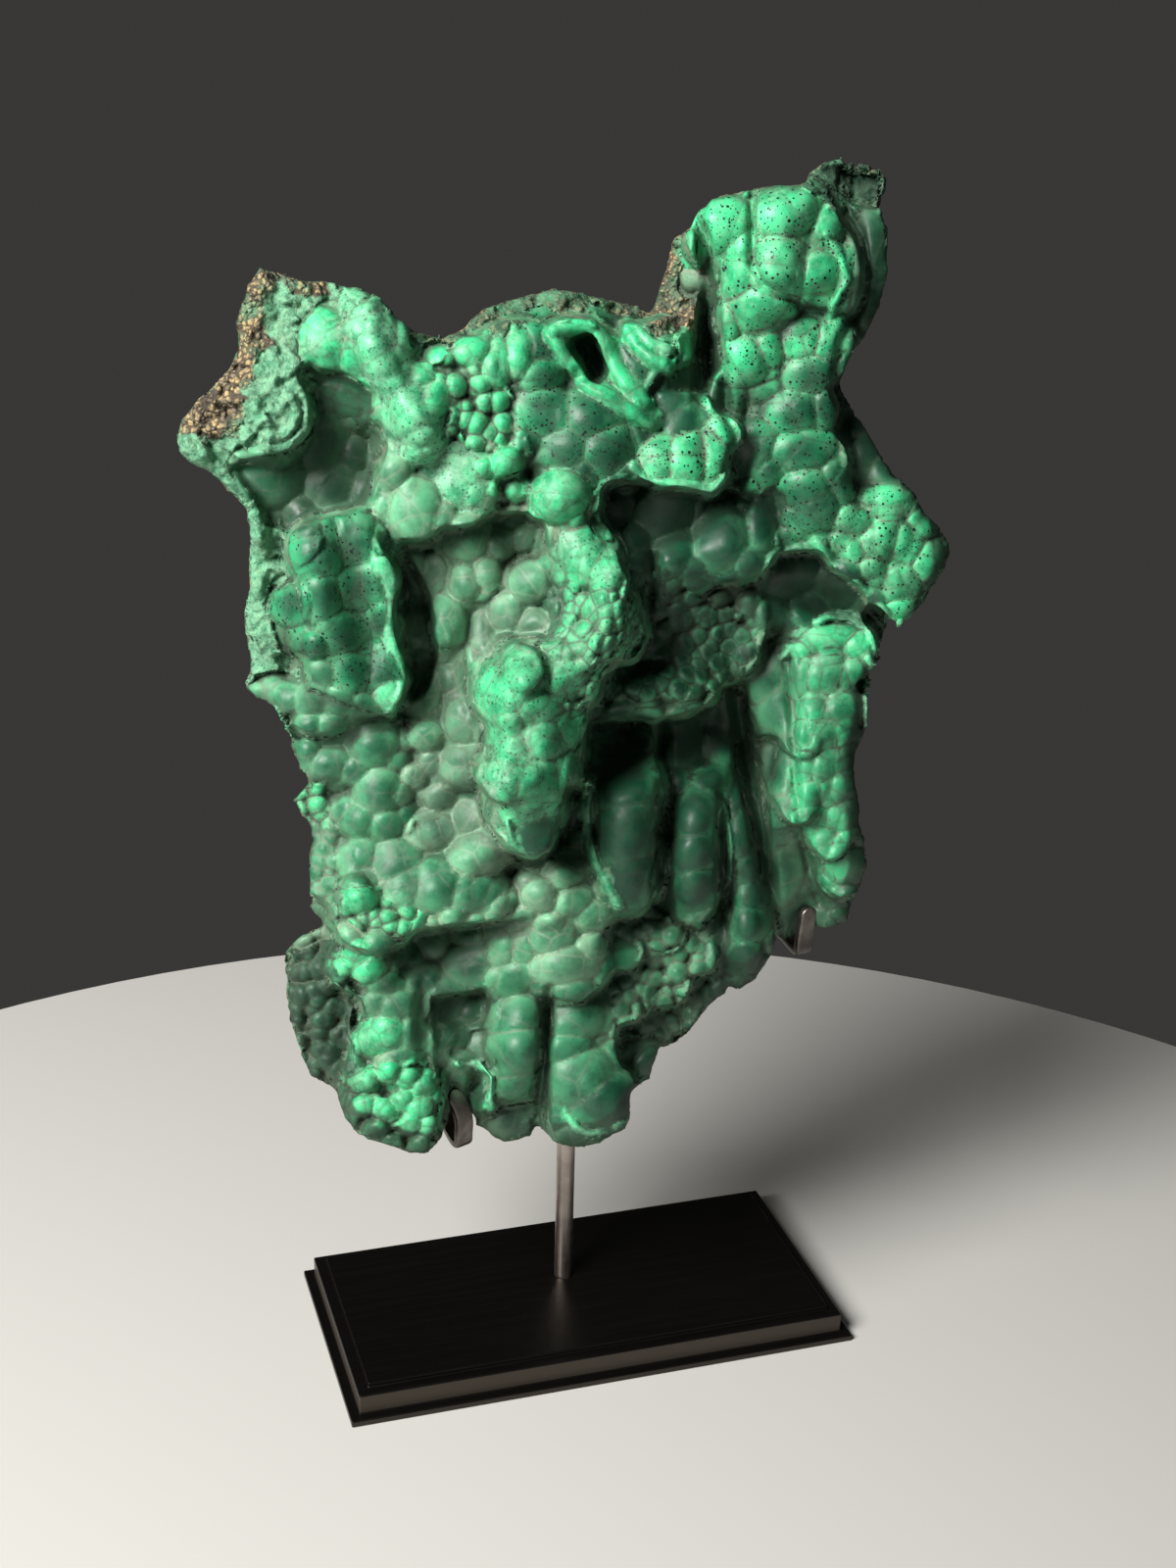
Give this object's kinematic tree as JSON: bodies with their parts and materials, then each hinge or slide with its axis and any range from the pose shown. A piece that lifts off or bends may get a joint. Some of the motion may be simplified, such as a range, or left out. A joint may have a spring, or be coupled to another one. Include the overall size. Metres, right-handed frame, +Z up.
{
  "type": "malachite specimen on a stand",
  "caption": "Botryoidal malachite slab with lumpy green front and brown matrix at its broken top, held upright by flat steel prongs on a rod in a stepped black wood base.",
  "frame": {"origin": "middle of the base's underside, on the surface it rests on", "axes": "+Z up, +X along the base's long side to the right of someone who faces the stone, +Y away from them"},
  "size_m": [0.242, 0.1022, 0.399],
  "materials": {
    "malachite": "satin",
    "black_wood": "satin",
    "rod_steel": "satin",
    "prong_steel": "satin"
  },
  "bodies": {
    "root": {"malachite": "malachite", "base": "black_wood", "post": "rod_steel", "left_prong": "prong_steel", "right_prong": "prong_steel"}
  },
  "joints": []
}
